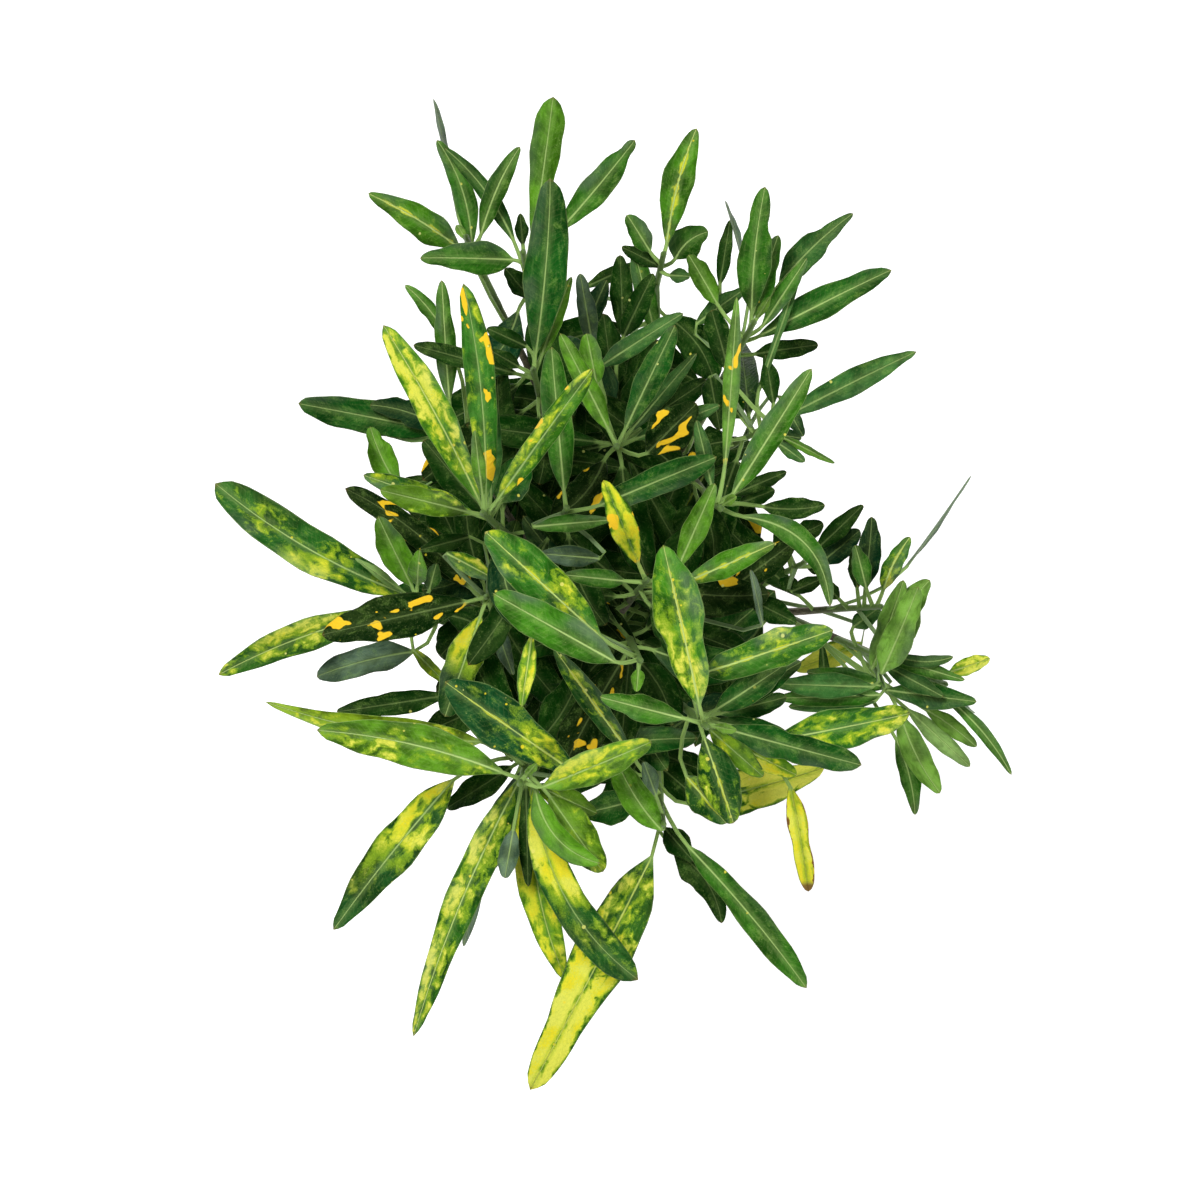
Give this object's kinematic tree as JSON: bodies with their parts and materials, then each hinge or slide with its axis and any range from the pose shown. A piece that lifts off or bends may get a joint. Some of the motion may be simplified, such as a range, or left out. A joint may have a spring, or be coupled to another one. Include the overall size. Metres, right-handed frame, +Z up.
{
  "type": "potted croton",
  "caption": "Bushy narrow-leaved croton in a plain round clay pot: leathery green leaves splashed with yellow, on woody stems that fork and spread from the soil.",
  "frame": {"origin": "middle of the pot's flat underside, on the surface that the pot stands on", "axes": "+Z up along the pot's axis; +X to the right and +Y to the top of the view from straight above"},
  "size_m": [0.4936, 0.6143, 0.5739],
  "materials": {
    "clay": "matt unglazed clay",
    "earth": "crumbly dark potting mix",
    "leaf": "smooth, leathery and half glossy"
  },
  "bodies": {
    "root": {"pot": "clay", "soil": "earth", "stem_centre": "leaf", "stem_north": "leaf", "stem_north_west": "leaf", "stem_north_east": "leaf", "stem_west": "leaf", "stem_west_low": "leaf", "stem_south_west": "leaf", "stem_south": "leaf", "stem_east": "leaf"}
  },
  "joints": []
}
